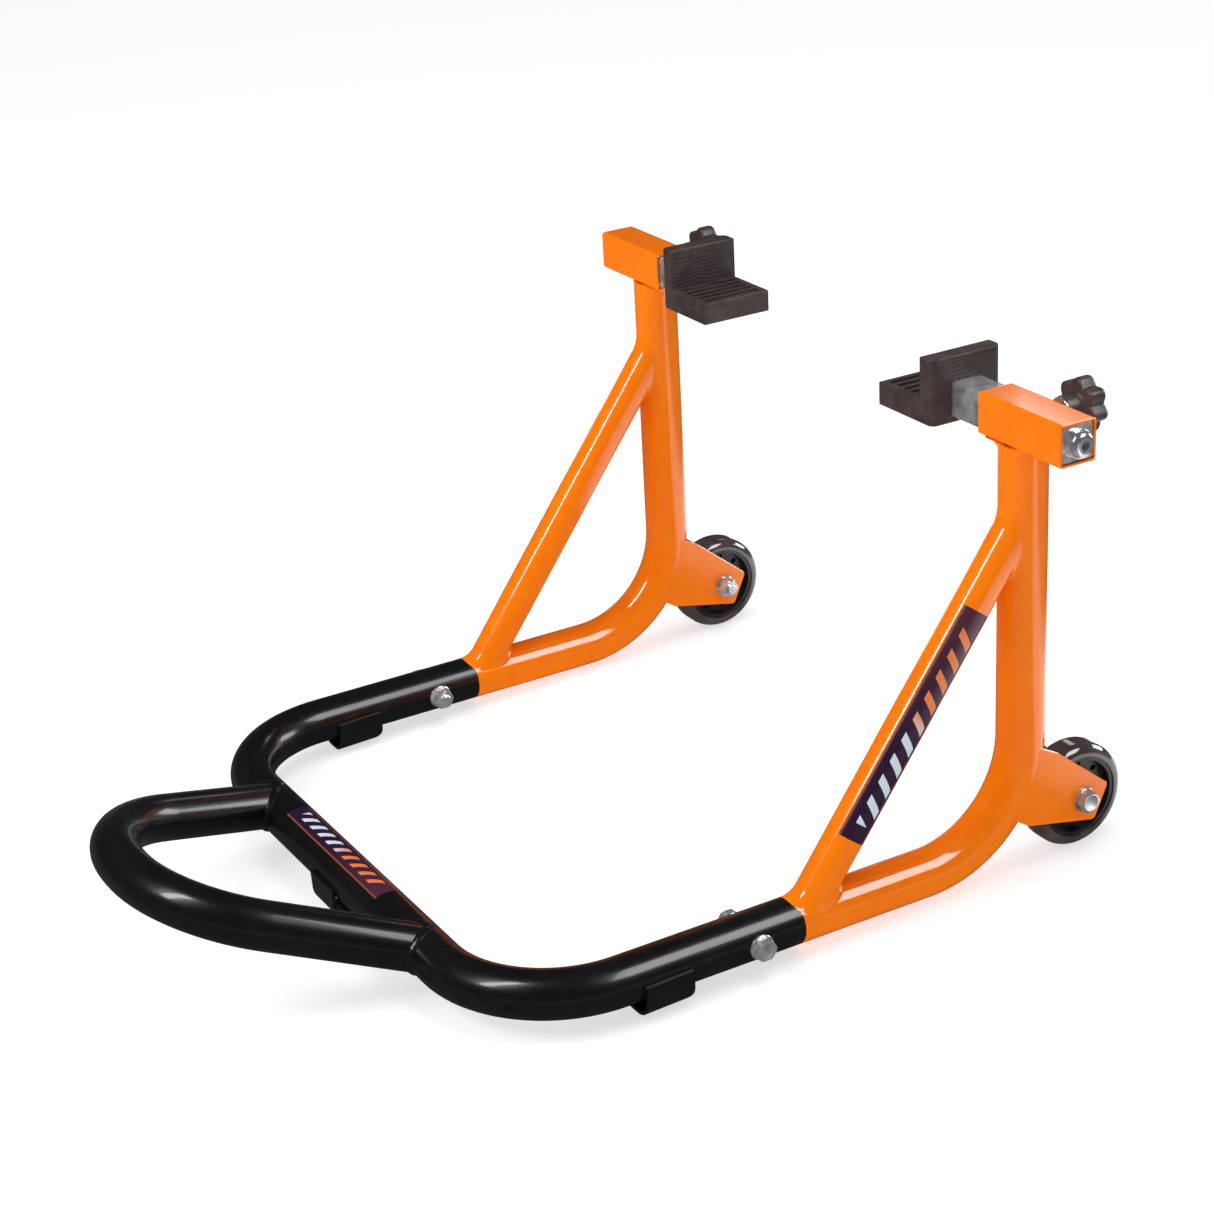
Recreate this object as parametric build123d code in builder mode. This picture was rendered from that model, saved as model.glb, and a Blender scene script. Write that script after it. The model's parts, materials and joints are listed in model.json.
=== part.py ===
from build123d import *
from math import cos, radians, sin, sqrt, tan
import os

# Motorcycle rear paddock stand, in millimetres.
#
# It is drawn in the stand's own axes: the origin is on the crossbar's axis, midway between the
# legs, +X points to the right leg, +Y from the handle to the wheels, and +Z up the posts.
# At the end it is set down on its three feet and two wheels, with the origin on the floor.
# Every piece of a leg is drawn on the right side, and the left side is its mirror image.

# ---- Main tube: one U-bent base and two bent legs
tube_od = 38.0
tube_wall = 2.0
leg_x = 261.6               # middle plane to the axis of a side tube
base_bend_radius = 96.0
joint_y = 246.0             # where the base ends and the leg begins
spigot_length = 72.0        # reduced end of the leg inside the base
spigot_clearance = 0.2
post_y = 459.5              # axis of the posts
leg_bend_radius = 93.0
housing_z = 348.3           # axis of the housings

# ---- Handle loop
handle_root = 138.8         # half width where the arms meet the crossbar
handle_reach = 186.7        # crossbar axis to the tip's axis, along the loop
handle_arm_angle = 17.8     # lean of each arm towards the middle
handle_bend_radius = 104.0
handle_incline = 19.8       # rise of the loop from the plane of the base

# ---- Brace
brace_od = 30.0
brace_wall = 2.0
brace_setback = 7.0         # joint to the brace's axis, along the lower tube
brace_drop = 71.9           # housing's axis to the brace's axis, down the post

# ---- Housing, slide tube and support pad
housing_size = 33.0
housing_wall = 2.0
housing_corner = 3.0
housing_outer = 62.0        # post axis to the outer end
housing_inner = 33.0        # post axis to the inner end
slide_clearance = 0.5
slide_wall = 2.0
slide_corner = 2.4
slide_recess = 1.0          # outer end of the slide, inside the housing's end
end_plate_thickness = 2.5
pad_gap = 35.0              # housing's inner end to the pad
pad_width = 65.0
pad_thickness = 15.0
pad_rise = 34.2             # above the slide's axis
pad_shelf_depth = 53.0
pad_shelf_thickness = 18.6  # below the slide's axis
pad_corner = 6.0
groove_count = 5
groove_width = 4.6
groove_depth = 2.5
groove_border = 6.0

# ---- Wheel and its fork
wheel_radius = 43.0
wheel_width = 26.5
wheel_gap = 2.0             # tread to the bend of the leg
axle_z = 27.2
tread_thickness = 9.0
tread_round = 8.1           # rounding of the tread's outer edges
hub_boss_radius = 20.0
hub_web = 9.0
hub_rim = 3.5
hub_hole_count = 9
hub_hole_radius = 2.6
plate_thickness = 3.0
plate_gap = 31.0            # clear width between the fork's plates
plate_corner = 4.0
bearing_od = 30.0
bearing_width = 9.0
bearing_race = 3.0          # thickness of each ring
bearing_shield = 0.8
ball_radius = 1.85
ball_count = 7
side_clearance = 0.3        # between parts that turn and parts that don't

# ---- Feet
foot_length = 40.0
foot_thickness = 3.0
foot_y = 127.0              # middle of the side feet
foot_top = 1.0              # upper edge, above the tube's axis
foot_round = 18.0           # corners of the bent strip
foot_nose = 12.0            # rounded lower corner at one end
rake = 1.8                  # slope of the base against the floor

# ---- Broken edges
tube_lip = 1.0              # rounded end of the base tube
plate_edge = 0.5            # housings and fork plates
washer_edge = 0.3
pad_edge = 1.2              # shelf of the support pad

# ---- M10 and M12 fasteners
m10 = 10.0
m10_flats = 16.0
m10_head = 6.4
m10_nut = 8.0
m10_washer_od = 20.0
m10_washer = 2.0
m10_hole_clearance = 0.25
m10_stub = 4.5              # thread that stands out of a nut
joint_bolt_setback = 40.0   # joint to the bolt
m12 = 12.0
m12_head_od = 21.0
m12_head = 6.6
m12_socket_flats = 7.0
m12_washer_od = 22.5
m12_washer = 2.5
m12_flats = 18.0
m12_nut = 8.0
m12_clearance = 0.25
nut_cover = 3.0             # rubber between the captive nut and the pad's inner face

# ---- Clamp
clamp_nut_flats = 19.0
clamp_nut_height = 9.0
thread_clearance = 0.06     # radial, of the clamp screw in its nut
clamp_gap = 0.3             # screw tip to slide tube, just backed off
clamp_stub = 8.0            # bare screw between the nut and the washer
clamp_washer_od = 20.0
clamp_washer = 1.6
knob_radius = 22.0
knob_lobes = 7
knob_lobe_radius = 5.2
knob_height = 15.0
knob_hub_radius = 10.5
knob_hub_height = 12.5

# ---- Values that follow
tube_r = tube_od / 2
bore_r = tube_r - tube_wall
slide_size = housing_size - 2 * (housing_wall + slide_clearance)
bend_y = post_y - leg_bend_radius
wheel_reach = leg_bend_radius + tube_r + wheel_gap + wheel_radius
axle_y = bend_y + sqrt(wheel_reach ** 2 - (leg_bend_radius - axle_z) ** 2)
wheel_contact_z = axle_z - wheel_radius / cos(radians(rake))
m10_hole = m10 / 2 + m10_hole_clearance

housing_out_x = leg_x + housing_outer
housing_in_x = leg_x - housing_inner
pad_x = housing_in_x - pad_gap                  # outer face of the pad
slide_out_x = housing_out_x - slide_recess      # outer face of the end plate
plate_in = plate_gap / 2
plate_out = plate_in + plate_thickness
housing_back_y = post_y + housing_size / 2
clamp_nut_y = housing_back_y + clamp_nut_height
clamp_face_y = clamp_nut_y + clamp_stub         # where the washer begins
knob_y = clamp_face_y + clamp_washer


def floor_at(y):
    """Height of the floor in the stand's own axes."""
    return wheel_contact_z + (y - axle_y) * tan(radians(rake))


# The stand set down: its plane turned by the rake, the floor at z = 0, and the box centred.
floor_up = Vector(0, -sin(radians(rake)), cos(radians(rake)))
tip_y = -handle_reach * cos(radians(handle_incline + rake)) - tube_r
back_y = axle_y * cos(radians(rake)) + axle_z * sin(radians(rake)) + wheel_radius
floor_drop = floor_at(0) * cos(radians(rake))
rest_pose = Location((0, -(tip_y + back_y) / 2, -floor_drop), (-rake, 0, 0))


def save(piece, name):
    """Write one piece where it stands at rest."""
    piece.label = name
    export_step(piece.moved(rest_pose), f"parts/{name}.step")


def save_pair(piece, name):
    """Write a piece of the right leg and its mirror image on the left."""
    save(piece, f"{name}_right")
    save(mirror(piece, about=Plane.YZ), f"{name}_left")


def across(x, y, z):
    """Plane at a point of the stand, facing out along +X, with +Y to its right and +Z up."""
    return Plane(origin=(x, y, z), x_dir=(0, 1, 0), z_dir=(1, 0, 0))


def swept_tube(plane, points, radius, od, wall=0.0):
    """Round tube along bent straight runs, or a solid bar of the same outside."""
    with BuildPart() as tube:
        with BuildLine(plane) as path:
            FilletPolyline(*points, radius=radius)
        with BuildSketch(Plane(origin=path.line @ 0, z_dir=path.line % 0)):
            Circle(od / 2)
            if wall:
                Circle(od / 2 - wall, mode=Mode.SUBTRACT)
        sweep(path=path.line)
    return tube.part


def straight_tube(start, end, od, wall=0.0):
    """Round tube between two points, or a solid bar of the same outside."""
    run = Vector(*end) - Vector(*start)
    with BuildPart() as tube:
        with BuildSketch(Plane(origin=start, z_dir=run)):
            Circle(od / 2)
            if wall:
                Circle(od / 2 - wall, mode=Mode.SUBTRACT)
        extrude(amount=run.length)
    return tube.part


def seat_axis(seat):
    """Axis that leaves a seat plane."""
    return Axis(seat.origin, seat.z_dir)


def hex_bolt(seat, flats, head, thread, length):
    """Hexagon bolt: the head stands on the seat plane and the shank goes down from it."""
    with BuildPart() as bolt:
        with BuildSketch(seat):
            RegularPolygon(flats / 2, 6, major_radius=False)
        extrude(amount=head)
        with BuildSketch(seat):
            Circle(0.95 * flats / 2 + head * tan(radians(60)))
        extrude(amount=head, taper=60, mode=Mode.INTERSECT)
        with BuildSketch(seat):
            Circle(thread / 2)
        extrude(amount=-length)
        chamfer(bolt.edges().filter_by(GeomType.CIRCLE).sort_by(seat_axis(seat))[0], length=0.8)
    return bolt.part


def hex_nut(seat, flats, height, hole_r):
    """Hexagon nut that stands on the seat plane."""
    with BuildPart() as nut:
        with BuildSketch(seat):
            RegularPolygon(flats / 2, 6, major_radius=False)
        extrude(amount=height)
        with BuildSketch(seat):
            Circle(0.95 * flats / 2 + height * tan(radians(60)))
        extrude(amount=height, taper=60, mode=Mode.INTERSECT)
        with BuildSketch(seat):
            Circle(hole_r)
        extrude(amount=height, mode=Mode.SUBTRACT)
    return nut.part


def rings(plane, spans, outer_r, inner_r):
    """Coaxial rings with broken outer edges, one for each span (start, length) of the normal."""
    with BuildPart() as group:
        for start, length in spans:
            with BuildSketch(plane.offset(start)):
                Circle(outer_r)
                Circle(inner_r, mode=Mode.SUBTRACT)
            extrude(amount=length)
        outer_edges = group.edges().filter_by(GeomType.CIRCLE).group_by(SortBy.RADIUS)[-1]
        chamfer(outer_edges, length=washer_edge)
    return group.part


os.makedirs("parts", exist_ok=True)

# ---- Solid envelopes of the tubes, that other pieces are cut to
crossbar_bar = straight_tube((-leg_x, 0, 0), (leg_x, 0, 0), tube_od)
side_bar = straight_tube((leg_x, 0, 0), (leg_x, post_y, 0), tube_od)
leg_plane = across(leg_x, 0, 0)
leg_points = [(joint_y, 0), (post_y, 0), (post_y, housing_z - housing_size / 2)]
leg_bar = swept_tube(leg_plane, leg_points, leg_bend_radius, tube_od)

# ---- Base tube: crossbar, two bends and two side stubs, drilled for the joint bolts
base_points = [(leg_x, joint_y), (leg_x, 0), (-leg_x, 0), (-leg_x, joint_y)]
base_shell = swept_tube(Plane.XY, base_points, base_bend_radius, tube_od, tube_wall)
joint_bolt_y = joint_y - joint_bolt_setback
with BuildPart() as base_tube:
    add(base_shell)
    with BuildSketch(across(-leg_x - tube_od, joint_bolt_y, 0)):
        Circle(m10_hole)
    extrude(amount=2 * (leg_x + tube_od), mode=Mode.SUBTRACT)
    end_faces = base_tube.faces().sort_by(Axis.Y)[-2:]
    fillet([face.outer_wire().edge() for face in end_faces], tube_lip)
save(base_tube.part, "base_tube")

# ---- Handle loop: two leaning arms and a round end, saddled onto the crossbar
incline = radians(handle_incline)
handle_plane = Plane(origin=(0, 0, 0), x_dir=(1, 0, 0), z_dir=(0, -sin(incline), -cos(incline)))
handle_tip = handle_root - handle_reach * tan(radians(handle_arm_angle))
handle_points = [
    (handle_root, 0), (handle_tip, handle_reach), (-handle_tip, handle_reach), (-handle_root, 0)]
handle_shell = swept_tube(handle_plane, handle_points, handle_bend_radius, tube_od, tube_wall)
with BuildPart() as handle_loop:
    add(handle_shell)
    add(crossbar_bar, mode=Mode.SUBTRACT)
handle_body = handle_loop.part.solids().sort_by(SortBy.VOLUME)[-1]
save(Part([handle_body]), "handle_loop")



# ---- Feet: short strips bent round the tube, with soles that lie flat on the floor
def foot(origin, along, tube_bar):
    """Foot that starts at a point of the floor under the tube and runs in one direction."""
    side = along.cross(floor_up)
    profile = Plane(origin=origin, x_dir=-side, z_dir=along)
    outline = Plane(origin=origin, x_dir=along, z_dir=side)
    half = tube_r + foot_thickness
    height = foot_top - origin[2]
    with BuildPart() as strip:
        with BuildSketch(profile) as outside:
            with Locations((0, height / 2)):
                Rectangle(2 * half, height)
            fillet(outside.vertices().group_by(Axis.Y)[0], foot_round)
        extrude(amount=foot_length)
        with BuildSketch(profile) as inside:
            with Locations((0, height / 2 + foot_thickness)):
                Rectangle(2 * tube_r, height)
            fillet(inside.vertices().group_by(Axis.Y)[0], foot_round - foot_thickness)
        extrude(amount=foot_length, mode=Mode.SUBTRACT)
        with BuildSketch(outline) as nose:
            with Locations((foot_length / 2, height)):
                Rectangle(foot_length, 2 * height)
            fillet(nose.vertices().group_by(Axis.Y)[0].sort_by(Axis.X)[-1], foot_nose)
        extrude(amount=half, both=True, mode=Mode.INTERSECT)
        add(tube_bar, mode=Mode.SUBTRACT)
    return strip.part


slope = Vector(0, cos(radians(rake)), sin(radians(rake)))
foot_start_y = foot_y - foot_length / 2
side_foot = foot((leg_x, foot_start_y, floor_at(foot_start_y)), slope, side_bar)
crossbar_foot = floor_up * floor_drop      # foot of the perpendicular from the crossbar
front_foot = foot((foot_length / 2, crossbar_foot.Y, crossbar_foot.Z), Vector(-1, 0, 0), crossbar_bar)
save_pair(side_foot, "foot")
save(front_foot, "foot_front")

# ---- Leg tube: lower tube, bend and post, with a reduced spigot inside the base
leg_shell = swept_tube(leg_plane, leg_points, leg_bend_radius, tube_od, tube_wall)
spigot_r = bore_r - spigot_clearance
with BuildPart() as leg_tube:
    add(leg_shell)
    with BuildSketch(Plane.XZ.offset(-joint_y)):
        with Locations((leg_x, 0)):
            Circle(tube_r)
            Circle(spigot_r - tube_wall, mode=Mode.SUBTRACT)
    extrude(amount=-tube_wall)
    with BuildSketch(Plane.XZ.offset(-joint_y - tube_wall)):
        with Locations((leg_x, 0)):
            Circle(spigot_r)
            Circle(spigot_r - tube_wall, mode=Mode.SUBTRACT)
    extrude(amount=spigot_length + tube_wall)
    with BuildSketch(across(leg_x - tube_od, joint_bolt_y, 0)):
        Circle(m10_hole)
    extrude(amount=2 * tube_od, mode=Mode.SUBTRACT)
save_pair(leg_tube.part, "leg_tube")

# ---- Brace: straight tube saddled onto the lower tube and the post
brace_start = (leg_x, joint_y + brace_setback, 0)
brace_end = (leg_x, post_y, housing_z - brace_drop)
brace_shell = straight_tube(brace_start, brace_end, brace_od, brace_wall)
with BuildPart() as brace_tube:
    add(brace_shell)
    add(leg_bar, mode=Mode.SUBTRACT)
brace_body = brace_tube.part.solids().sort_by(SortBy.VOLUME)[-1]
save_pair(Part([brace_body]), "brace_tube")

# ---- Housing: square tube across the post's top, drilled for the clamp screw
clamp_hole = m10 / 2 + 2 * m10_hole_clearance
with BuildPart() as pad_housing:
    with BuildSketch(across(housing_in_x, post_y, housing_z)):
        RectangleRounded(housing_size, housing_size, housing_corner)
        RectangleRounded(
            housing_size - 2 * housing_wall, housing_size - 2 * housing_wall,
            housing_corner - housing_wall, mode=Mode.SUBTRACT)
    extrude(amount=housing_outer + housing_inner)
    with BuildSketch(Plane.XZ.offset(-post_y)):
        with Locations((leg_x, housing_z)):
            Circle(clamp_hole)
    extrude(amount=-housing_size, mode=Mode.SUBTRACT)
    end_faces = pad_housing.faces().sort_by(Axis.X)
    chamfer(end_faces[0].outer_wire().edges() + end_faces[-1].outer_wire().edges(), plate_edge)
save_pair(pad_housing.part, "pad_housing")


def clamp_plane(y):
    """Plane across the clamp screw at a distance along +Y, facing out."""
    return Plane(origin=(leg_x, y, housing_z), x_dir=(0, 0, 1), z_dir=(0, 1, 0))


clamp_nut = hex_nut(
    clamp_plane(housing_back_y), clamp_nut_flats, clamp_nut_height, m10 / 2 + thread_clearance)
save_pair(clamp_nut, "clamp_nut")

# ---- Slide tube, with its end plate
slide_length = slide_out_x - end_plate_thickness - pad_x
with BuildPart() as slide_tube:
    with BuildSketch(across(pad_x, post_y, housing_z)):
        RectangleRounded(slide_size, slide_size, slide_corner)
        RectangleRounded(
            slide_size - 2 * slide_wall, slide_size - 2 * slide_wall,
            slide_corner - slide_wall, mode=Mode.SUBTRACT)
    extrude(amount=slide_length)
save_pair(slide_tube.part, "slide_tube")

with BuildPart() as end_plate:
    with BuildSketch(across(slide_out_x - end_plate_thickness, post_y, housing_z)):
        RectangleRounded(slide_size, slide_size, slide_corner)
        Circle(m12 / 2 + m12_clearance, mode=Mode.SUBTRACT)
    extrude(amount=end_plate_thickness)
    chamfer(end_plate.faces().sort_by(Axis.X)[-1].outer_wire().edges(), length=0.6)
save_pair(end_plate.part, "slide_end_plate")

# ---- Pad screw, washer and captive nut
pad_inner_x = pad_x - pad_thickness
nut_x = pad_inner_x + nut_cover
screw_head_x = slide_out_x + m12_washer
pad_washer = rings(
    across(slide_out_x, post_y, housing_z), [(0, m12_washer)],
    m12_washer_od / 2, m12 / 2 + m12_clearance)
save_pair(pad_washer, "pad_washer")

with BuildPart() as pad_screw:
    with BuildSketch(across(screw_head_x, post_y, housing_z)):
        Circle(m12_head_od / 2)
    extrude(amount=m12_head)
    fillet(pad_screw.edges().filter_by(GeomType.CIRCLE).sort_by(Axis.X)[-1], 0.75 * m12_head)
    with BuildSketch(across(screw_head_x, post_y, housing_z)):
        Circle(m12 / 2)
    extrude(amount=-(screw_head_x - nut_x))
    with BuildSketch(across(screw_head_x + m12_head, post_y, housing_z)):
        RegularPolygon(m12_socket_flats / 2, 6, major_radius=False)
    extrude(amount=-0.65 * m12_head, mode=Mode.SUBTRACT)
save_pair(pad_screw.part, "pad_screw")

pad_nut = hex_nut(across(nut_x, post_y, housing_z), m12_flats, m12_nut, m12 / 2)
save_pair(pad_nut, "pad_nut")

# ---- Support pad: rubber L with a grooved shelf, moulded round its nut
pad_height = pad_rise + pad_shelf_thickness
pad_mid_z = housing_z + (pad_rise - pad_shelf_thickness) / 2
shelf_mid_x = pad_inner_x - pad_shelf_depth / 2
groove_pitch = (pad_shelf_depth - 2 * groove_border - groove_width) / (groove_count - 1)
with BuildPart() as support_pad:
    with BuildSketch(Plane.XY.offset(housing_z - pad_shelf_thickness)) as plate:
        with Locations(((pad_x + pad_inner_x) / 2, post_y)):
            Rectangle(pad_thickness, pad_width)
        fillet(plate.vertices().group_by(Axis.X)[-1], pad_corner)
    extrude(amount=pad_height)
    fillet(support_pad.faces().sort_by(Axis.Z)[-1].edges(), 1.5)
    with BuildSketch(Plane.XY.offset(housing_z - pad_shelf_thickness)):
        with Locations((shelf_mid_x, post_y)):
            Rectangle(pad_shelf_depth, pad_width)
    extrude(amount=pad_shelf_thickness)
    shelf_end = support_pad.faces().sort_by(Axis.X)[0]
    shelf_edges = support_pad.edges().filter_by(Axis.X).filter_by_position(
        Axis.X, shelf_mid_x - 1, shelf_mid_x + 1)
    underside = support_pad.faces().sort_by(Axis.Z)[0]
    fillet(list(set(shelf_end.edges() + shelf_edges + underside.edges())), pad_edge)
    with BuildSketch(Plane.XY.offset(housing_z)):
        with Locations((shelf_mid_x, post_y)):
            with GridLocations(groove_pitch, 0, groove_count, 1):
                Rectangle(groove_width, pad_width - 2 * groove_border)
    extrude(amount=-groove_depth, mode=Mode.SUBTRACT)
    with BuildSketch(across(nut_x, post_y, housing_z)):
        Circle(m12 / 2 + m12_clearance)
    extrude(amount=pad_thickness, mode=Mode.SUBTRACT)
    add(pad_nut, mode=Mode.SUBTRACT)
save_pair(support_pad.part, "support_pad")

# ---- Clamp: screw with its tip just off the slide tube, washer and star knob
screw_tip_y = post_y + slide_size / 2 + clamp_gap
screw_end_y = knob_y + knob_hub_height + 0.6 * knob_height
clamp_screw = straight_tube((leg_x, screw_tip_y, housing_z), (leg_x, screw_end_y, housing_z), m10)
save_pair(clamp_screw, "clamp_screw")
clamp_washer_ring = rings(
    clamp_plane(clamp_face_y), [(0, clamp_washer)], clamp_washer_od / 2,
    m10 / 2 + thread_clearance)
save_pair(clamp_washer_ring, "clamp_washer")

knob_start_y = knob_y + side_clearance
hub_top_y = knob_start_y + knob_hub_height
with BuildPart() as clamp_knob:
    with BuildSketch(clamp_plane(hub_top_y)) as star:
        Circle(knob_radius - knob_lobe_radius)
        with PolarLocations(knob_radius - knob_lobe_radius, knob_lobes):
            Circle(knob_lobe_radius)
        notches = star.vertices()
        fillet(notches, 2.2)
    extrude(amount=knob_height)
    rims = clamp_knob.faces().filter_by(Axis.Y)
    fillet(rims.sort_by(Axis.Y)[-1].edges() + rims.sort_by(Axis.Y)[0].edges(), 2.0)
    with BuildSketch(clamp_plane(knob_start_y)):
        Circle(knob_hub_radius)
    extrude(amount=knob_hub_height + knob_height / 2)
    with BuildSketch(clamp_plane(knob_start_y)):
        Circle(m10 / 2)
    extrude(amount=screw_end_y - knob_start_y, mode=Mode.SUBTRACT)
save_pair(clamp_knob.part, "clamp_knob")

# ---- Wheel fork: two plates cut to the bend of the leg
bend_centre = (bend_y, leg_bend_radius)
low_angle, high_angle = 49.0, 87.0      # along the bend, from the lower tube
low_end = (bend_y + leg_bend_radius * sin(radians(low_angle)),
           leg_bend_radius * (1 - cos(radians(low_angle))))
high_end = (bend_y + leg_bend_radius * sin(radians(high_angle)),
            leg_bend_radius * (1 - cos(radians(high_angle))))
heel_corner = (axle_y - 53.5, axle_z - 7.0)
top_corner = (axle_y - 26.5, axle_z + 48.5)
rear_corner = (axle_y + 23.5, axle_z + 7.5)
toe_corner = (axle_y + 10.5, axle_z - 21.0)


def fork_plate(start):
    """Fork plate whose nearer face stands at a distance from the leg's middle plane."""
    with BuildPart() as plate:
        with BuildSketch(leg_plane.offset(start)) as shape:
            with BuildLine():
                Polyline(low_end, heel_corner, toe_corner, rear_corner, top_corner, high_end)
                CenterArc(bend_centre, leg_bend_radius, low_angle - 90, high_angle - low_angle)
            make_face()
            fillet(shape.vertices().group_by(Axis.X)[-3:], plate_corner)
            with Locations((axle_y, axle_z)):
                Circle(m10_hole, mode=Mode.SUBTRACT)
        extrude(amount=plate_thickness)
        outer_wires = [face.outer_wire().edges() for face in plate.faces().filter_by(Axis.X)]
        chamfer(outer_wires[0] + outer_wires[1], plate_edge)
        add(leg_bar, mode=Mode.SUBTRACT)
    return plate.part


save_pair(fork_plate(plate_in), "fork_plate_outer")
save_pair(fork_plate(-plate_out), "fork_plate_inner")

# ---- Wheel: tread, hub and two bearings, on a bolt with spacers
wheel_plane = Plane(origin=(leg_x, axle_y, axle_z), x_dir=(1, 0, 0), z_dir=(0, 0, 1))
wheel_axis = Axis((leg_x, axle_y, axle_z), (1, 0, 0))
hub_r = wheel_radius - tread_thickness
with BuildPart() as wheel_tread:
    with BuildSketch(wheel_plane) as band:
        with Locations((0, wheel_radius - tread_thickness / 2)):
            Rectangle(wheel_width, tread_thickness)
        fillet(band.vertices().group_by(Axis.Y)[-1], tread_round)
    revolve(axis=wheel_axis)
save_pair(wheel_tread.part, "wheel_tread")

bearing_seat = bearing_od / 2
rim_r = hub_r - hub_rim
hole_ring = (hub_boss_radius + rim_r) / 2
with BuildPart() as wheel_hub:
    with BuildSketch(wheel_plane):
        with Locations((0, hub_r - hub_rim / 2)):
            Rectangle(wheel_width - 2, hub_rim)
        with Locations((0, (hub_r + hub_boss_radius) / 2)):
            Rectangle(hub_web, hub_r - hub_boss_radius)
        with Locations((0, (hub_boss_radius + bearing_seat) / 2)):
            Rectangle(wheel_width, hub_boss_radius - bearing_seat)
        with Locations((0, bearing_seat - bearing_race / 2)):
            Rectangle(wheel_width - 2 * bearing_width, bearing_race)
    revolve(axis=wheel_axis)
    with BuildSketch(across(leg_x, axle_y, axle_z)):
        with PolarLocations(hole_ring, hub_hole_count):
            Circle(hub_hole_radius)
    extrude(amount=hub_web, both=True, mode=Mode.SUBTRACT)
save_pair(wheel_hub.part, "wheel_hub")

# Each bearing: outer ring with two shields, inner ring on the bolt, and balls between
axle_bore_r = m10 / 2 + 0.05
bearing_starts = (-wheel_width / 2, wheel_width / 2 - bearing_width)
inner_race_r = axle_bore_r + bearing_race
outer_race_r = bearing_seat - bearing_race
axle_plane = across(leg_x, axle_y, axle_z)
with BuildPart() as outer_rings:
    for start in bearing_starts:
        with BuildSketch(axle_plane.offset(start)):
            Circle(bearing_seat)
            Circle(outer_race_r, mode=Mode.SUBTRACT)
        extrude(amount=bearing_width)
        for shield in (start, start + bearing_width - bearing_shield):
            with BuildSketch(axle_plane.offset(shield)):
                Circle(outer_race_r)
                Circle(inner_race_r + side_clearance, mode=Mode.SUBTRACT)
            extrude(amount=bearing_shield)
save_pair(outer_rings.part, "bearing_outer_rings")

inner_spans = [(start, bearing_width) for start in bearing_starts]
save_pair(rings(axle_plane, inner_spans, inner_race_r, axle_bore_r), "bearing_inner_rings")

with BuildPart() as bearing_balls:
    for start in bearing_starts:
        middle = axle_plane.offset(start + bearing_width / 2)
        with Locations(middle):
            with PolarLocations((inner_race_r + outer_race_r) / 2, ball_count):
                Sphere(ball_radius)
save_pair(bearing_balls.part, "bearing_balls")

middle_spacer = (bearing_starts[0] + bearing_width, wheel_width - 2 * bearing_width)
end_spacer = plate_in - wheel_width / 2
spacer_spans = [(-plate_in, end_spacer), middle_spacer, (wheel_width / 2, end_spacer)]
save_pair(rings(axle_plane, spacer_spans, inner_race_r - 0.5, axle_bore_r), "wheel_spacers")

# ---- Bolts with their washers and nuts: the heads are on the outer side of each leg
def cross_bolt(y, z, grip, name):
    """Bolt, two washers and a nut through a leg, gripping a width centred on its axis."""
    washer_seats = [(-grip / 2 - m10_washer, m10_washer), (grip / 2, m10_washer)]
    middle = across(leg_x, y, z)
    under_head = grip / 2 + m10_washer
    length = grip + 2 * m10_washer + m10_nut + m10_stub
    bolt = hex_bolt(middle.offset(under_head), m10_flats, m10_head, m10, length)
    nut_seat = Plane(origin=(leg_x - under_head, y, z), x_dir=(0, 1, 0), z_dir=(-1, 0, 0))
    save_pair(bolt, f"{name}_bolt")
    save_pair(rings(middle, washer_seats, m10_washer_od / 2, m10_hole), f"{name}_washers")
    save_pair(hex_nut(nut_seat, m10_flats, m10_nut, m10 / 2), f"{name}_nut")


cross_bolt(joint_bolt_y, 0, tube_od, "joint")
cross_bolt(axle_y, axle_z, 2 * plate_out, "axle")
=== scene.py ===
"""A motorcycle rear paddock stand: welds, threads, knobs, finishes and a studio for its frame."""
import json
from math import atan2, cos, pi, radians, sin, sqrt

import bmesh
import bpy
from mathutils import Matrix, Vector


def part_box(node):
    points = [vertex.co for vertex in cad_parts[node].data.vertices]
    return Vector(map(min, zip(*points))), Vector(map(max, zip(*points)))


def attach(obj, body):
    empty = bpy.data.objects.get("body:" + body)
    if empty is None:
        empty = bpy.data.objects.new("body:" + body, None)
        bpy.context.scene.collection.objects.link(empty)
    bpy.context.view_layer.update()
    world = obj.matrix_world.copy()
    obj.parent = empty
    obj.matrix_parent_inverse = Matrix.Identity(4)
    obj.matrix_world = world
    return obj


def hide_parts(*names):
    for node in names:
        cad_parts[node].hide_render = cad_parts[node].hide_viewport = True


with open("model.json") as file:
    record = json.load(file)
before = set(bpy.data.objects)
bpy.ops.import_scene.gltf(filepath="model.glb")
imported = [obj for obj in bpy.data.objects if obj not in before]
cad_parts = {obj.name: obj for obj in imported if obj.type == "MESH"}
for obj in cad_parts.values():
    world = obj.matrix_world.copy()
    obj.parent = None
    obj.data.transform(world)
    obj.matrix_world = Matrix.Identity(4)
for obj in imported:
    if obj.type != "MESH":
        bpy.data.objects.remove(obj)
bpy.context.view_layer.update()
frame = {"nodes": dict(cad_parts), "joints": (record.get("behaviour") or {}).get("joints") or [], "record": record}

bl_info = {
    "name": "Paddock Stand Studio",
    "version": (1, 0, 0),
    "blender": (4, 5, 0),
    "location": "3D View > Sidebar > Paddock Stand",
    "description": "Finishes a motorcycle paddock stand and lights it for a studio picture",
    "category": "Object",
}

MM = 0.001
SIDES = (("right", 1), ("left", -1))


# ---------------------------------------------------------------- places read from the frame

RECORD = frame["record"]
MOUNTS = {mount["name"]: mount for mount in RECORD["mounts"]}
JOINTS = {joint["name"]: joint for joint in frame["joints"]}
SLOT_OF = {part["node"]: part["material_slot"] for part in RECORD["subparts"]}

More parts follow.
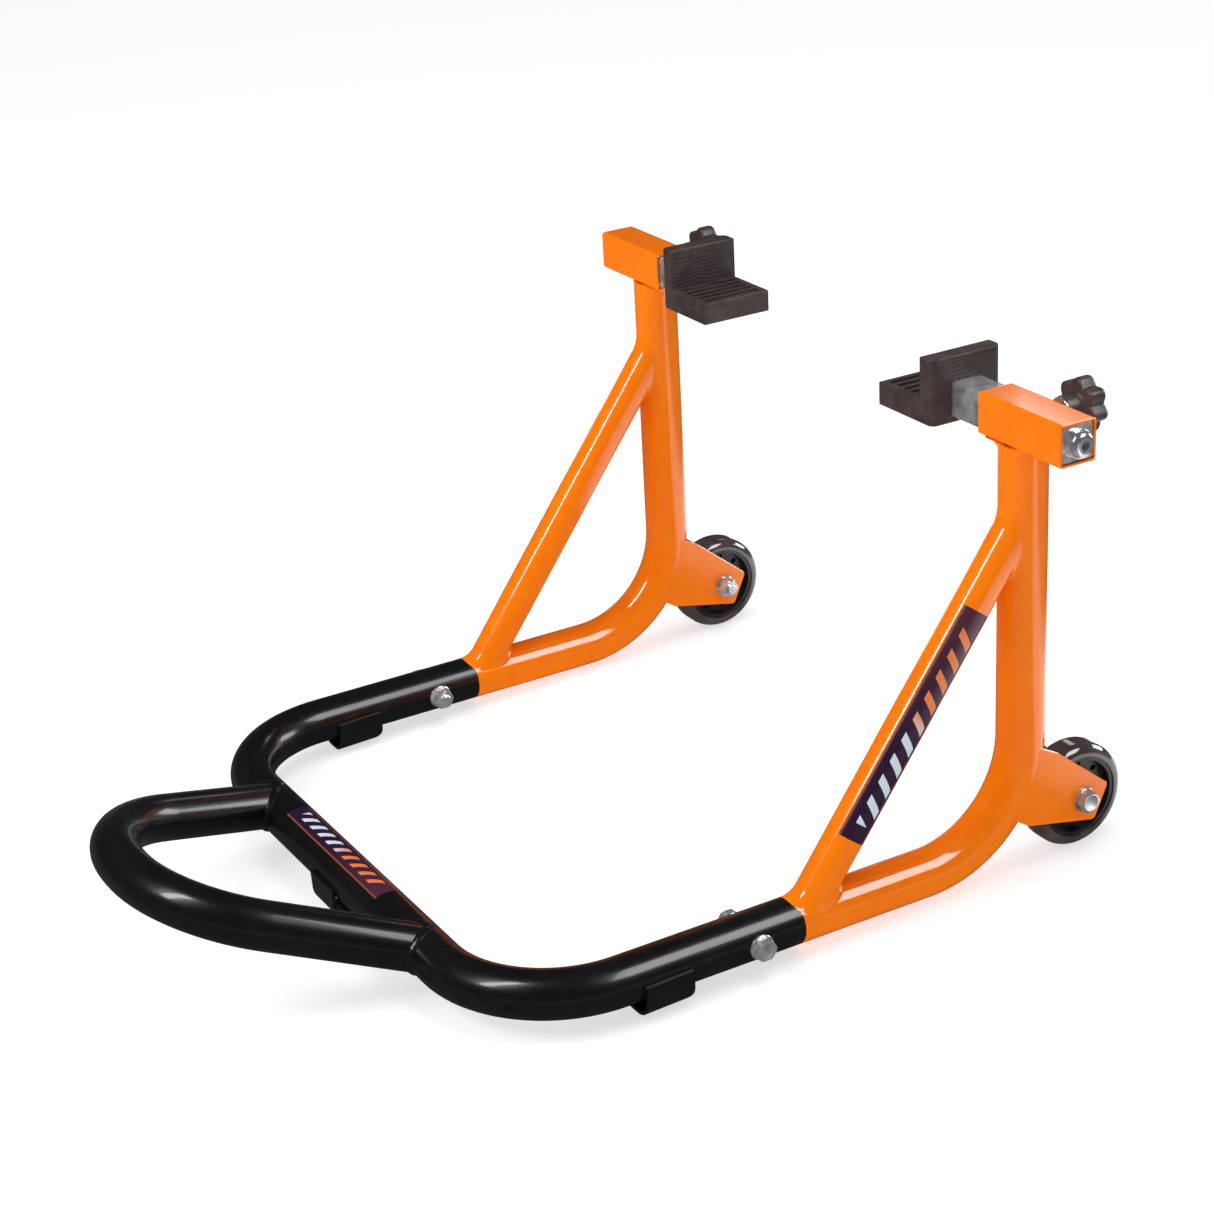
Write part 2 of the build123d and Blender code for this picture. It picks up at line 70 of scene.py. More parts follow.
leg_low, leg_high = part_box("leg_tube_right")
base_low, base_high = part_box("base_tube")
TUBE_R = (leg_high.x - leg_low.x) / 2
LEG_X = (leg_high.x + leg_low.x) / 2
STAND_UP = Vector(MOUNTS["pad_shelf_right"]["axis"])
RAKE = atan2(STAND_UP.y, STAND_UP.z)

# The stand's own axes: crossbar axis, +Y along the side tubes, +Z up the posts.
STAND = (Matrix.Translation((0, base_low.y + TUBE_R, base_high.z - TUBE_R))
         @ Matrix.Rotation(-RAKE, 4, "X"))
_, POST_Y, HOUSING_Z = STAND.inverted() @ Vector(MOUNTS["pad_shelf_right"]["pos_m"])
housing_low, housing_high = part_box("pad_housing_right")
HOUSING_IN = LEG_X - housing_low.x
brace_low, brace_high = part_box("brace_tube_right")
BRACE_R = (brace_high.x - brace_low.x) / 2


def along_axis(node, origin, axis):
    """Least and greatest distance of a CAD node's points along an axis."""
    places = [(v.co - origin).dot(axis) for v in frame["nodes"][node].data.vertices]
    return min(places), max(places)


def brace_line(sign):
    """A brace's foot on the lower tube, its head on the post and the way between, on one side."""
    weld = settings("weld")
    foot = Vector((sign * LEG_X, weld.brace_foot, 0))
    head = Vector((sign * LEG_X, POST_Y, weld.brace_head))
    return foot, head, (head - foot).normalized()


def facing(origin, axis, across=Vector((0, 0, 1))):
    """Matrix with its origin at a point and its Z along an axis."""
    z = axis.normalized()
    x = (across - across.dot(z) * z).normalized()
    y = z.cross(x)
    return Matrix.Translation(origin) @ Matrix((x, y, z)).transposed().to_4x4()


# ---------------------------------------------------------------- settings shown in the panel

def length(name, text, size):
    """Length property in metres, with its default in millimetres."""
    return bpy.props.FloatProperty(
        name=name, description=text, default=size * MM, precision=5, unit="LENGTH",
        subtype="DISTANCE")


def angle(name, text, size):
    """Angle property, with its default in degrees."""
    return bpy.props.FloatProperty(
        name=name, description=text, default=radians(size), unit="ROTATION", subtype="ANGLE")


def colour(name, text, value):
    """Colour property, linear."""
    return bpy.props.FloatVectorProperty(
        name=name, description=text, default=value, size=3, min=0.0, max=1.0, subtype="COLOR")


class PaintSettings(bpy.types.PropertyGroup):
    orange: colour("Orange", "Powder coat of the legs", (1.0, 0.22, 0.0))
    orange_deep: colour("Deep orange", "Thicker patches of the orange coat", (0.98, 0.19, 0.0))
    black: colour("Black", "Powder coat of the base and handle", (0.004, 0.004, 0.004))
    black_soft: colour("Soft black", "Thinner patches of the black coat", (0.007, 0.007, 0.007))
    peel: length("Orange peel", "Height of the ripple in the coats", 0.05)


class MetalSettings(bpy.types.PropertyGroup):
    zinc: colour("Zinc", "Bright zinc plate", (0.92, 0.94, 0.96))
    zinc_cloud: colour("Zinc cloud", "Duller clouds in the plate", (0.46, 0.48, 0.51))
    steel: colour("Bearing steel", "Ground steel of the bearings", (0.55, 0.55, 0.57))


class MouldingSettings(bpy.types.PropertyGroup):
    rubber: colour("Rubber", "Support pads", (0.046, 0.030, 0.028))
    knob: colour("Knob", "Star knobs", (0.042, 0.030, 0.027))
    tread: colour("Tread", "Polyurethane of the wheels", (0.058, 0.044, 0.042))
    hub: colour("Hub", "Nylon of the wheel centres", (0.016, 0.014, 0.014))


class WeldSettings(bpy.types.PropertyGroup):
    brace_foot: length("Brace foot", "Crossbar to the brace's axis, on the lower tube", 253.0)
    brace_head: length("Brace head", "Lower tube to the brace's axis, on the post", 276.4)
    handle_root: length("Handle root", "Middle to an arm of the handle, on the crossbar", 138.8)
    handle_lean: angle("Handle lean", "Lean of an arm towards the middle", 17.8)
    handle_rise: angle("Handle rise", "Rise of the handle from the base", 19.8)
    reach_open: length("Open reach", "Width of a fillet where the tubes part", 10.0)
    reach_closed: length("Closed reach", "Width of a fillet where the tubes meet sharply", 4.0)
    bead: length("Bead", "Width of the handle's weld bead", 3.4)
    post_drop: length("Post flare", "Height of the flare under a housing", 13.0)
    post_reach: length("Flare reach", "How far the flare runs along a housing", 13.0)


class BoltSettings(bpy.types.PropertyGroup):
    pitch: length("Pitch", "Pitch of the M10 threads", 1.5)
    depth: length("Thread depth", "Depth of the M10 threads", 0.8)
    shank: length("Shank", "Radius of the M10 shanks", 5.0)
    corner: length("Corner", "Rounding of a head's corners", 0.5)


class KnobSettings(bpy.types.PropertyGroup):
    radius: length("Radius", "Middle to the tip of a lobe", 22.0)
    waist: length("Waist", "Middle to the hollow between two lobes", 17.0)
    hub: length("Hub", "Radius of the hub", 10.5)
    hub_height: length("Hub height", "Washer to the underside of the star", 12.5)
    height: length("Star height", "Thickness of the star", 15.0)
    gap: length("Gap", "Washer to the hub", 0.3)
    lobes: bpy.props.IntProperty(
        name="Lobes", description="Number of lobes", default=7, min=5, max=9)


class BandSettings(bpy.types.PropertyGroup):
    ground: colour("Ground", "Ground of the bands", (0.026, 0.006, 0.036))
    warm: colour("Warm bars", "Orange bars of the bands", (0.80, 0.20, 0.06))
    cool: colour("Cool bars", "Pale bars of the bands", (0.62, 0.74, 0.80))
    film: length("Film", "Thickness of a band", 0.12)


class StudioSettings(bpy.types.PropertyGroup):
    azimuth: angle("Azimuth", "Turn of the view from straight behind the handle", 61.14)
    elevation: angle("Elevation", "Height of the view above the base", 23.85)
    roll: angle("Roll", "Roll of the view", -3.33)
    distance: length("Distance", "Camera to the middle of the stand", 2157.9)
    lens: bpy.props.FloatProperty(
        name="Lens", description="Focal length on a 36 mm sensor", default=78.57, min=10,
        unit="CAMERA")
    aim: bpy.props.FloatVectorProperty(
        name="Aim", description="Point of the stand that the camera looks at", size=3,
        default=(-0.02469, 0.26123, 0.150), subtype="TRANSLATION", unit="LENGTH")


SETTINGS = {
    "paint": PaintSettings, "metal": MetalSettings, "moulding": MouldingSettings,
    "weld": WeldSettings, "bolt": BoltSettings, "knob": KnobSettings, "band": BandSettings,
    "studio": StudioSettings,
}


def settings(name):
    """One group of settings of the scene."""
    return getattr(bpy.context.scene, f"stand_{name}")


# ---------------------------------------------------------------- shader building

def add_node(tree, kind, inputs=None, **options):
    """New node with its options set and its inputs given a value or linked to a socket."""
    node = tree.nodes.new(kind)
    for key, value in options.items():
        setattr(node, key, value)
    for key, value in (inputs or {}).items():
        if isinstance(value, bpy.types.NodeSocket):
            tree.links.new(value, node.inputs[key])
        else:
            node.inputs[key].default_value = value
    return node


def mix_colour(tree, factor, first, second):
    """Colour between two others."""
    node = tree.nodes.new("ShaderNodeMix")
    node.data_type = "RGBA"
    sockets = [s for s in node.inputs if s.enabled]
    for socket, value in zip(sockets, (factor, first, second)):
        if isinstance(value, bpy.types.NodeSocket):
            tree.links.new(value, socket)
        else:
            socket.default_value = value
    return next(s for s in node.outputs if s.enabled)


def scaled(tree, value, low_in, high_in, low_out, high_out):
    """Value moved from one range to another, clamped."""
    node = add_node(tree, "ShaderNodeMapRange", {
        "Value": value, "From Min": low_in, "From Max": high_in, "To Min": low_out,
        "To Max": high_out})
    return node.outputs["Result"]


def calculate(tree, operation, first, second=None):
    """Result of one Math node."""
    inputs = {0: first} if second is None else {0: first, 1: second}
    return add_node(tree, "ShaderNodeMath", inputs, operation=operation).outputs[0]


def noise(tree, scale, detail=2.0, stretch=(1, 1, 1)):
    """Noise over the piece's own coordinates, its grain stretched along an axis."""
    place = add_node(tree, "ShaderNodeTexCoord").outputs["Object"]
    moved = add_node(tree, "ShaderNodeMapping", {"Vector": place, "Scale": stretch})
    made = add_node(tree, "ShaderNodeTexNoise", {
        "Vector": moved.outputs["Vector"], "Scale": scale, "Detail": detail})
    return made.outputs["Fac"]


def make_group(name, inputs, outputs, wire):
    """Node group with named sockets; wire(tree, sockets) returns a socket for each output."""
    if name in bpy.data.node_groups:
        return bpy.data.node_groups[name]
    tree = bpy.data.node_groups.new(name, "ShaderNodeTree")
    for label, kind, default in inputs:
        tree.interface.new_socket(label, in_out="INPUT", socket_type=kind).default_value = default
    for label, kind in outputs:
        tree.interface.new_socket(label, in_out="OUTPUT", socket_type=kind)
    entry = tree.nodes.new("NodeGroupInput")
    leave = tree.nodes.new("NodeGroupOutput")
    for label, socket in wire(tree, entry.outputs).items():
        tree.links.new(socket, leave.inputs[label])
    return tree


FLOAT, COLOUR = "NodeSocketFloat", "NodeSocketColor"


def tone_clouds():
    """Slow drift between two tones of one finish."""
    def wire(tree, sockets):
        drift = noise(tree, sockets["Size"], detail=3.0)
        fine = noise(tree, sockets["Fine"])
        factor = scaled(tree, calculate(tree, "MULTIPLY", drift, fine), 0.16, 0.36, 0.0, 1.0)
        return {"Colour": mix_colour(tree, factor, sockets["Tone"], sockets["Other"])}
    return make_group(
        "Tone Clouds",
        [("Tone", COLOUR, (1, 1, 1, 1)), ("Other", COLOUR, (0, 0, 0, 1)),
         ("Size", FLOAT, 12.0), ("Fine", FLOAT, 90.0)],
        [("Colour", COLOUR)], wire)


def surface_grain():
    """Height of a fine grain, and a roughness that drifts in patches."""
    def wire(tree, sockets):
        grain = noise(tree, sockets["Size"])
        patches = calculate(tree, "SUBTRACT", noise(tree, sockets["Patches"], detail=3.0), 0.5)
        drift = calculate(tree, "MULTIPLY", patches, sockets["Spread"])
        rough = calculate(tree, "ADD", sockets["Roughness"], drift)
        return {"Height": grain, "Roughness": rough}
    return make_group(
        "Surface Grain",
        [("Size", FLOAT, 400.0), ("Patches", FLOAT, 30.0), ("Roughness", FLOAT, 0.2),
         ("Spread", FLOAT, 0.1)],
        [("Height", FLOAT), ("Roughness", FLOAT)], wire)


def fine_dust():
    """Mask of sparse specks, gathered in patches."""
    def wire(tree, sockets):
        place = add_node(tree, "ShaderNodeTexCoord").outputs["Object"]
        cells = add_node(tree, "ShaderNodeTexVoronoi", {"Vector": place, "Scale": sockets["Size"]})
        speck = scaled(tree, cells.outputs["Distance"], 0.0, 0.16, 1.0, 0.0)
        where = scaled(tree, noise(tree, 35.0), 0.52, 0.70, 0.0, 1.0)
        specks = calculate(tree, "MULTIPLY", speck, where)
        return {"Mask": calculate(tree, "MULTIPLY", specks, sockets["Amount"])}
    return make_group(
        "Fine Dust", [("Size", FLOAT, 500.0), ("Amount", FLOAT, 0.2)], [("Mask", FLOAT)], wire)


def brushed_lines():
    """Height of fine drawn lines along the piece's X."""
    def wire(tree, sockets):
        return {"Height": noise(tree, sockets["Size"], detail=3.0, stretch=(0.04, 1, 1))}
    return make_group("Brushed Lines", [("Size", FLOAT, 1500.0)], [("Height", FLOAT)], wire)


def mould_lines():
    """Height of the level lines that a mould leaves, a pitch apart and a little bent."""
    def wire(tree, sockets):
        place = add_node(tree, "ShaderNodeTexCoord").outputs["Object"]
        level = add_node(tree, "ShaderNodeSeparateXYZ", {"Vector": place}).outputs["Z"]
        wobble = scaled(tree, noise(tree, 25.0), 0.3, 0.7, 0.0, 0.004)
        bent = calculate(tree, "ADD", level, wobble)
        turns = calculate(tree, "DIVIDE", bent, sockets["Pitch"])
        wave = calculate(tree, "SINE", calculate(tree, "MULTIPLY", turns, 2 * pi))
        return {"Height": scaled(tree, wave, -1.0, 1.0, 0.0, 1.0)}
    return make_group("Mould Lines", [("Pitch", FLOAT, 0.0035)], [("Height", FLOAT)], wire)


def put_group(tree, group, **values):
    """A node group placed in a material with its own values."""
    node = add_node(tree, "ShaderNodeGroup", node_tree=group)
    for key, value in values.items():
        node.inputs[key].default_value = value
    return node


def opaque(rgb):
    """Colour with full alpha."""
    return (*rgb, 1.0)


def dimmed(rgb, share):
    """A darker or lighter shade of a colour."""
    return tuple(min(1.0, part * share) for part in rgb)


def finish(name, tone, other, grain, rough, spread=0.08, depth=0.05, dust=0.1, clouds=14.0,
           lines=None, line_depth=0.0, **constants):
    """Material: drifting tone, grain, dust, and drawn or moulded lines, under its own gloss."""
    if name in bpy.data.materials:
        return bpy.data.materials[name]
    made = bpy.data.materials.new(name)
    made.use_nodes = True
    tree = made.node_tree
    shader = tree.nodes["Principled BSDF"]
    tones = put_group(tree, tone_clouds(), Tone=opaque(tone), Other=opaque(other), Size=clouds)
    skin = put_group(tree, surface_grain(), Size=grain, Roughness=rough, Spread=spread)
    specks = put_group(tree, fine_dust(), Amount=dust)
    pale = opaque(tuple(0.5 * part + 0.12 for part in tone))
    colours = mix_colour(tree, specks.outputs["Mask"], tones.outputs["Colour"], pale)
    tree.links.new(colours, shader.inputs["Base Color"])
    rougher = calculate(tree, "ADD", skin.outputs["Roughness"], specks.outputs["Mask"])
    tree.links.new(rougher, shader.inputs["Roughness"])
    bump = add_node(tree, "ShaderNodeBump", {
        "Height": skin.outputs["Height"], "Strength": 0.6, "Distance": depth * MM})
    if lines is not None:
        marks = put_group(tree, lines)
        bump = add_node(tree, "ShaderNodeBump", {
            "Height": marks.outputs["Height"], "Normal": bump.outputs["Normal"],
            "Strength": 0.6, "Distance": line_depth * MM})
    tree.links.new(bump.outputs["Normal"], shader.inputs["Normal"])
    for key, value in constants.items():
        shader.inputs[key.replace("_", " ")].default_value = value
    return made


def orange_paint():
    paint = settings("paint")
    return finish(
        "Orange Powder Coat", paint.orange, paint.orange_deep, grain=420.0, rough=0.13, spread=0.05,
        depth=paint.peel / MM, dust=0.02, Coat_Weight=0.45, Coat_Roughness=0.05)


def black_paint():
    paint = settings("paint")
    return finish(
        "Black Powder Coat", paint.black, paint.black_soft, grain=420.0, rough=0.27, spread=0.08,
        depth=paint.peel / MM, dust=0.05, Coat_Weight=0.3, Coat_Roughness=0.06,
        Specular_IOR_Level=0.4)


def zinc():
    metal = settings("metal")
    return finish(
        "Bright Zinc", metal.zinc, metal.zinc_cloud, grain=900.0, rough=0.16, spread=0.14,
        depth=0.02, dust=0.05, clouds=60.0, lines=brushed_lines(), line_depth=0.015, Metallic=0.78)


def bearing_steel():
    metal = settings("metal")
    return finish(
        "Ground Bearing Steel", metal.steel, dimmed(metal.steel, 0.8), grain=1500.0, rough=0.16,
        spread=0.1, depth=0.01, dust=0.08, clouds=80.0, Metallic=0.8)


def pad_rubber():
    tone = settings("moulding").rubber
    return finish(
        "Moulded Rubber", tone, dimmed(tone, 1.5), grain=1400.0, rough=0.52, spread=0.16,
        depth=0.08, dust=0.32, clouds=45.0, lines=mould_lines(), line_depth=0.30, Specular_IOR_Level=0.42)


def knob_plastic():
    tone = settings("moulding").knob
    return finish(
        "Moulded Plastic", tone, dimmed(tone, 1.7), grain=1100.0, rough=0.40, spread=0.16,
        depth=0.06, dust=0.15, clouds=70.0, Specular_IOR_Level=0.5)


def wheel_tread():
    tone = settings("moulding").tread
    return finish(
        "Polyurethane Tread", tone, dimmed(tone, 1.6), grain=300.0, rough=0.13, spread=0.08,
        depth=0.03, dust=0.08, clouds=50.0, Coat_Weight=0.8, Coat_Roughness=0.04, Specular_IOR_Level=0.6)


def wheel_hub():
    tone = settings("moulding").hub
    return finish(
        "Hub Nylon", tone, dimmed(tone, 1.8), grain=900.0, rough=0.30, spread=0.12, depth=0.05,
        dust=0.12, clouds=70.0, Specular_IOR_Level=0.5)


FINISHES = {
    "orange_paint": orange_paint, "black_paint": black_paint, "zinc": zinc,
    "bearing_steel": bearing_steel, "pad_rubber": pad_rubber, "knob_plastic": knob_plastic,
    "wheel_tread": wheel_tread, "wheel_hub": wheel_hub,
}


BAR_COUNT = 11.0          # bars in a whole band's length
BAR_SLANT = 0.10          # how far a bar leans, as a share of the band's length
BAR_WIDTH = 0.42          # share of a bar and its gap
BAR_HALF_HEIGHT = 0.24    # from the band's middle line, as a share of its width
ROW_HALF_LENGTH = 0.43    # from the band's middle, as a share of its length
BORDER_START = 0.44       # where the border begins, from the middle line


def band_film():
    """Printed film: slanted bars on a dark ground, pale at one end and warm at the other."""
    if "Printed Film" in bpy.data.materials:
        return bpy.data.materials["Printed Film"]
    band = settings("band")
    made = bpy.data.materials.new("Printed Film")
    made.use_nodes = True
    tree = made.node_tree
    shader = tree.nodes["Principled BSDF"]
    place = add_node(tree, "ShaderNodeUVMap", uv_map="band").outputs["UV"]
    parts = add_node(tree, "ShaderNodeSeparateXYZ", {"Vector": place})
    u, v = parts.outputs["X"], parts.outputs["Y"]
    slid = calculate(tree, "ADD", u, calculate(tree, "MULTIPLY", v, BAR_SLANT))
    saw = calculate(tree, "FRACT", calculate(tree, "MULTIPLY", slid, BAR_COUNT))
    off_line = calculate(tree, "ABSOLUTE", calculate(tree, "SUBTRACT", v, 0.5))
    off_middle = calculate(tree, "ABSOLUTE", calculate(tree, "SUBTRACT", u, 0.5))
    bars = calculate(tree, "LESS_THAN", saw, BAR_WIDTH)
    for distance, limit in ((off_line, BAR_HALF_HEIGHT), (off_middle, ROW_HALF_LENGTH)):
        within = calculate(tree, "LESS_THAN", distance, limit)
        bars = calculate(tree, "MULTIPLY", bars, within)
    ink = mix_colour(
        tree, scaled(tree, u, 0.44, 0.56, 0.0, 1.0), opaque(band.cool), opaque(band.warm))
    glow = scaled(tree, u, 0.4, 1.0, 0.0, 0.12)
    ground = mix_colour(tree, glow, opaque(band.ground), opaque(dimmed(band.warm, 0.6)))
    border = calculate(tree, "GREATER_THAN", off_line, BORDER_START)
    framed = mix_colour(tree, border, ground, opaque(dimmed(band.warm, 0.35)))
    tree.links.new(mix_colour(tree, bars, framed, ink), shader.inputs["Base Color"])
    skin = put_group(tree, surface_grain(), Size=500.0, Roughness=0.28, Spread=0.1)
    tree.links.new(skin.outputs["Roughness"], shader.inputs["Roughness"])
    bump = add_node(tree, "ShaderNodeBump", {
        "Height": skin.outputs["Height"], "Strength": 0.5, "Distance": 0.03 * MM})
    tree.links.new(bump.outputs["Normal"], shader.inputs["Normal"])
    return made


# ---------------------------------------------------------------- mesh building

def loft(sections, closed=False):
    """Points and faces through equal closed sections, capped unless the row of sections closes."""
    count = len(sections[0])
    points = [point for section in sections for point in section]
    faces = []
    rows = len(sections)
    for i in range(rows if closed else rows - 1):
        here, there = i * count, (i + 1) % rows * count
        for j in range(count):
            k = (j + 1) % count
            faces.append((here + j, here + k, there + k, there + j))
    if not closed:
        faces.append(tuple(reversed(range(count))))
        faces.append(tuple(range((rows - 1) * count, rows * count)))
    return points, faces


def make_piece(name, points, faces, body, slot=None, place=Matrix(), sharp=35.0, material=None):
    """New piece from points and faces, its normals turned outwards, riding on a body."""
    mesh = bpy.data.meshes.new(name)
    mesh.from_pydata([place @ Vector(point) for point in points], [], faces)
    shape = bmesh.new()
    shape.from_mesh(mesh)
    bmesh.ops.recalc_face_normals(shape, faces=shape.faces)
    shape.to_mesh(mesh)
    shape.free()
    mesh.shade_smooth()
    mesh.set_sharp_from_angle(angle=radians(sharp))
    piece = bpy.data.objects.new(name, mesh)
    bpy.context.scene.collection.objects.link(piece)
    piece.data.materials.append(material or FINISHES[slot]())
    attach(piece, body)
    return piece


def ring_of(radius, height, steps):
    """Level circle of points."""
    return [(radius * cos(2 * pi * i / steps), radius * sin(2 * pi * i / steps), height)
            for i in range(steps)]


def hexagon(flats, corner, on_arc=3, on_flat=4):
    """Outline of a hexagon with rounded corners, as points."""
    outline = []
    centre = (flats / 2 - corner) / cos(pi / 6)
    for side in range(6):
        middle = side * pi / 3
        arc = []
        for step in range(on_arc + 1):
            turn = middle + (step / on_arc - 0.5) * pi / 3
            arc.append(Vector((centre * cos(middle) + corner * cos(turn),
                               centre * sin(middle) + corner * sin(turn))))
        outline.append(arc)
    points = []
    for side in range(6):
        points += outline[side]
        start, end = outline[side][-1], outline[(side + 1) % 6][0]
        points += [start.lerp(end, step / (on_flat + 1)) for step in range(1, on_flat + 1)]
    return points


FOOT_SHARE, FOOT_CHAMFER = 0.975, 0.12 * MM    # a head's lower edge: its share inwards, its height
CROWN_SHARE = 0.475                            # radius of a head's chamfer over its width
DISH_RIM, DISH_FLOOR = 0.82, 0.76              # radii of a head's dish over its chamfer's
DISH_DEPTH = 0.25 * MM
TIP_LENGTH = 1.1                               # length of a thread's taper over its depth
FLANK = 1.12                                   # steepness of a thread's flanks


def hex_head(flats, height, corner):
    """Sections of a chamfered, dished hexagon head that stands on z = 0, from the bottom up."""
    outline = hexagon(flats, corner)
    crown = CROWN_SHARE * flats
    slope = sin(pi / 6) / cos(pi / 6)

    def circle(share, level):
        return [(p.x / p.length * crown * share, p.y / p.length * crown * share, level)
                for p in outline]

    foot = [(p.x * FOOT_SHARE, p.y * FOOT_SHARE, 0.0) for p in outline]
    low_edge = [(p.x, p.y, FOOT_CHAMFER) for p in outline]
    top_edge = [(p.x, p.y, height - max(0.0, p.length - crown) * slope) for p in outline]
    return [foot, low_edge, top_edge, circle(1.0, height), circle(DISH_RIM, height),
            circle(DISH_FLOOR, height - DISH_DEPTH)]


def threaded(radius, depth, pitch, start, end, steps=36, rings_a_turn=8):
    """Sections of a thread from one level to another, with a tapered tip at the end."""
    span = end - start
    rows = max(2, int(abs(span) / pitch * rings_a_turn))
    sections = []
    for row in range(rows + 1):
        level = start + span * row / rows
        taper = max(0.0, 1.0 - abs(end - level) / (TIP_LENGTH * depth)) * depth
        section = []
        for step in range(steps):
            turn = 2 * pi * step / steps
            phase = (level / pitch - step / steps) % 1.0
            cut = depth * max(0.0, 1.0 - abs(2 * phase - 1.0) * FLANK)
            r = min(radius - cut, radius - taper)
            section.append((r * cos(turn), r * sin(turn), level))
        sections.append(section)
    return sections


# ---------------------------------------------------------------- welds

EDGE_SINK = 0.08 * MM     # how far a weld's edges lie under the tubes' surfaces
ROOT_SINK = 1.2 * MM      # how far a weld's hidden side lies under the seam
SEAM_PULL = 0.12          # how far a hollow fillet's curve stands off the seam
CURVE_PARTS = 8


def along_curve(start, control, end, parts):
    """Points of a quadratic curve."""
    return [start * (1 - t) ** 2 + control * 2 * t * (1 - t) + end * t ** 2
            for t in (part / parts for part in range(parts + 1))]


def onto(place, point, axis, radius):
    """A place moved square to a tube's axis until it lies just under the tube's surface."""
    away = place - point
    away -= away.dot(axis) * axis
    return place + (away.normalized() * (radius - EDGE_SINK) - away)


def turned(way, towards):
    """A direction or its opposite, whichever points towards another."""
    return way if way.dot(towards) > 0 else -way


def saddle_weld(name, main, branch, reach, body, slot, bulge=0.0, ripples=0, steps=144):
    """Weld where a branch tube lands on a main tube, in the stand's axes.

    Each tube is (point, direction, radius). reach(opening) is the weld's width where the two
    surfaces open by that share, from 0, closed, to 1, straight. A bulge of 0 is a hollow fillet
    tangent to both tubes, and more is a rounded bead.
    """
    main_point, main_axis, main_r = main
    point, axis, radius = branch
    side = main_axis.cross(axis).normalized()
    other = axis.cross(side)
    sections = []
    for step in range(steps):
        turn = 2 * pi * step / steps
        out_b = side * cos(turn) + other * sin(turn)
        start = point + radius * out_b
        w = start - main_point
        w -= w.dot(main_axis) * main_axis
        d = axis - axis.dot(main_axis) * main_axis
        a, b, c = d.dot(d), w.dot(d), w.dot(w) - main_r ** 2
        along = (-b + sqrt(max(0.0, b * b - a * c))) / a
        seam = start + along * axis
        out_a = (w + along * d) / main_r
        tangent = out_a.cross(out_b).normalized()
        on_a = turned(tangent.cross(out_a), out_b)
        on_b = turned(tangent.cross(out_b), out_a)
        size = reach((1 - on_a.dot(on_b)) / 2)
        if ripples:
            size *= 1 + 0.10 * abs(sin(ripples * turn / 2)) - 0.05
        foot = onto(seam + size * on_a, main_point, main_axis, main_r)
        head = onto(seam + size * on_b, point, axis, radius)
        bisector = (out_a + out_b).normalized()
        control = seam + ((foot + head) / 2 - seam) * SEAM_PULL + bisector * bulge * size
        curve = along_curve(foot, control, head, CURVE_PARTS)
        sections.append(curve + [seam - bisector * ROOT_SINK])
    points, faces = loft(sections, closed=True)
    return make_piece(name, points, faces, body, slot, STAND, sharp=60.0)


NUT_HALF_FLATS = 9.5 * MM
NUT_BEAD_REACH, NUT_BEAD_RISE = 2.0 * MM, 1.9 * MM
NUT_RIPPLES = 14
NUT_STEPS, NUT_ARC_PARTS = 120, 6


class STAND_OT_welds(bpy.types.Operator):
    """Weld fillets and beads of the braces, the handle and the clamp nuts"""
    bl_idname = "stand.welds"
    bl_label = "Welds"

    def execute(self, context):
        weld = settings("weld")
        x_axis, y_axis, z_axis = Vector((1, 0, 0)), Vector((0, 1, 0)), Vector((0, 0, 1))

        def fillet(opening):
            return weld.reach_closed + (weld.reach_open - weld.reach_closed) * opening ** 1.5

        def bead(opening):
            return weld.bead

        lean, rise = weld.handle_lean, weld.handle_rise
        for side, sign in SIDES:
            foot, head, run = brace_line(sign)
            lower = (Vector((sign * LEG_X, 0, 0)), y_axis, TUBE_R)
            post = (Vector((sign * LEG_X, POST_Y, 0)), z_axis, TUBE_R)
            saddle_weld(f"brace_foot_weld_{side}", lower, (foot, run, BRACE_R), fillet, "stand",
                        "orange_paint")
            saddle_weld(f"brace_head_weld_{side}", post, (head, -run, BRACE_R), fillet, "stand",
                        "orange_paint")
            root = Vector((sign * weld.handle_root, 0, 0))
            arm = Vector((-sign * sin(lean), -cos(lean) * cos(rise), cos(lean) * sin(rise)))
            saddle_weld(f"handle_weld_{side}", (Vector(), x_axis, TUBE_R), (root, arm, TUBE_R),
                        bead, "stand", "black_paint", bulge=0.75, ripples=46)
            self.nut_bead(side)
        return {"FINISHED"}

    def nut_bead(self, side):
        """Rippled ring of weld round the foot of a clamp nut."""
        clamp = JOINTS[f"clamp_turn_{side}"]
        axis = Vector(clamp["axis"])
        centre = Vector(clamp["pos_m"])
        low, _ = along_axis(f"clamp_nut_{side}", centre, axis)
        sections = []
        for step in range(NUT_STEPS):
            turn = 2 * pi * step / NUT_STEPS
            off_corner = abs(((turn + pi / 6) % (pi / 3)) - pi / 6)
            nut_r = NUT_HALF_FLATS / cos(pi / 6 - off_corner)
            swell = 1 + 0.12 * abs(sin(NUT_RIPPLES * turn))
            out = Vector((cos(turn), sin(turn), 0))
            section = []
            for part in range(NUT_ARC_PARTS + 1):
                lift = pi / 2 * part / NUT_ARC_PARTS
                r = nut_r - 0.1 * MM + NUT_BEAD_REACH * swell * cos(lift)
                section.append(out * r + Vector((0, 0, NUT_BEAD_RISE * swell * sin(lift))))
            section.append(out * (nut_r - 0.8 * MM))
            sections.append(section)
        points, faces = loft(sections, closed=True)
        make_piece(f"clamp_nut_weld_{side}", points, faces, "stand", "orange_paint",
                   facing(centre + low * axis, axis), sharp=60.0)


